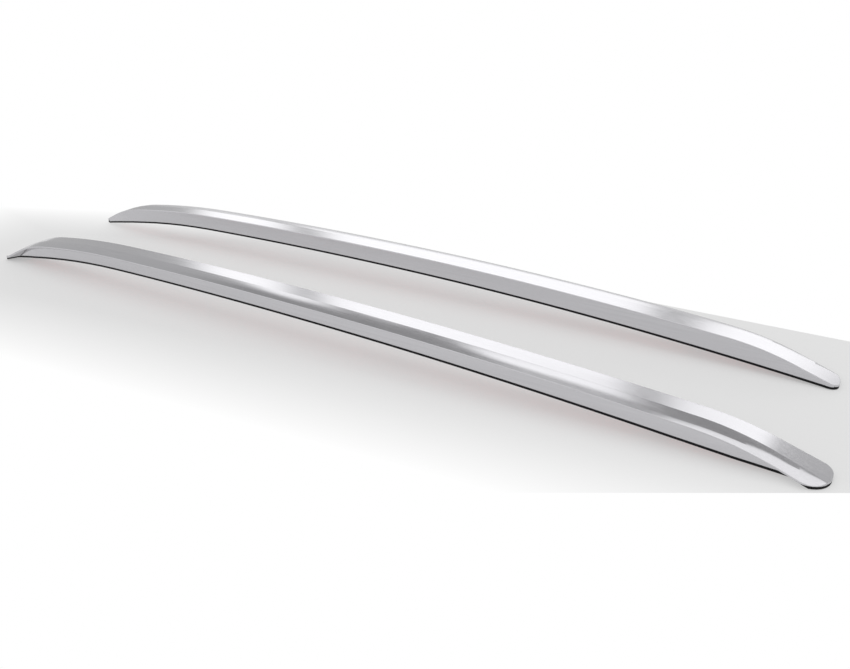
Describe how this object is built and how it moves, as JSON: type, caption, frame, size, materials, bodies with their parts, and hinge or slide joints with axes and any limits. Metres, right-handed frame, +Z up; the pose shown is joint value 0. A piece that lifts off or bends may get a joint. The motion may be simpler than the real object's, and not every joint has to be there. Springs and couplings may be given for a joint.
{
  "type": "pair of roof rails",
  "caption": "Pair of flush aluminium roof side rails for a family car, each bent to the roof with tapered tips, a black base gasket and threaded steel mount plates inside.",
  "frame": {"origin": "centre of the pair's footprint, on the surface that the rail tips rest on", "axes": "+X towards the rear tips, +Y from the left rail towards the right rail, +Z up"},
  "size_m": [1.7067, 0.3332, 0.0843],
  "materials": {
    "satin_aluminium": "satin, brushed lengthwise",
    "seal_rubber": "matt",
    "carrier_plastic": "moulded, fine grain",
    "plate_steel": "zinc plated",
    "screw_steel": "zinc plated",
    "seal_foam": "closed-cell foam",
    "tape_foam": "acrylic foam tape",
    "liner_film": "thin film"
  },
  "bodies": {
    "root": {"left_rail": "satin_aluminium", "left_gasket": "seal_rubber", "left_front_carrier": "carrier_plastic", "left_centre_carrier": "carrier_plastic", "left_rear_carrier": "carrier_plastic", "left_front_mount_plate": "plate_steel", "left_front_middle_mount_plate": "plate_steel", "left_rear_middle_mount_plate": "plate_steel", "left_rear_mount_plate": "plate_steel", "left_carrier_screws": "screw_steel", "left_bolt_seals": "seal_foam", "left_front_tape": "tape_foam", "left_centre_tape": "tape_foam", "left_rear_tape": "tape_foam", "left_front_tape_liner": "liner_film", "left_centre_tape_liner": "liner_film", "left_rear_tape_liner": "liner_film", "right_rail": "satin_aluminium", "right_gasket": "seal_rubber", "right_front_carrier": "carrier_plastic", "right_centre_carrier": "carrier_plastic", "right_rear_carrier": "carrier_plastic", "right_front_mount_plate": "plate_steel", "right_front_middle_mount_plate": "plate_steel", "right_rear_middle_mount_plate": "plate_steel", "right_rear_mount_plate": "plate_steel", "right_carrier_screws": "screw_steel", "right_bolt_seals": "seal_foam", "right_front_tape": "tape_foam", "right_centre_tape": "tape_foam", "right_rear_tape": "tape_foam", "right_front_tape_liner": "liner_film", "right_centre_tape_liner": "liner_film", "right_rear_tape_liner": "liner_film"}
  },
  "joints": []
}
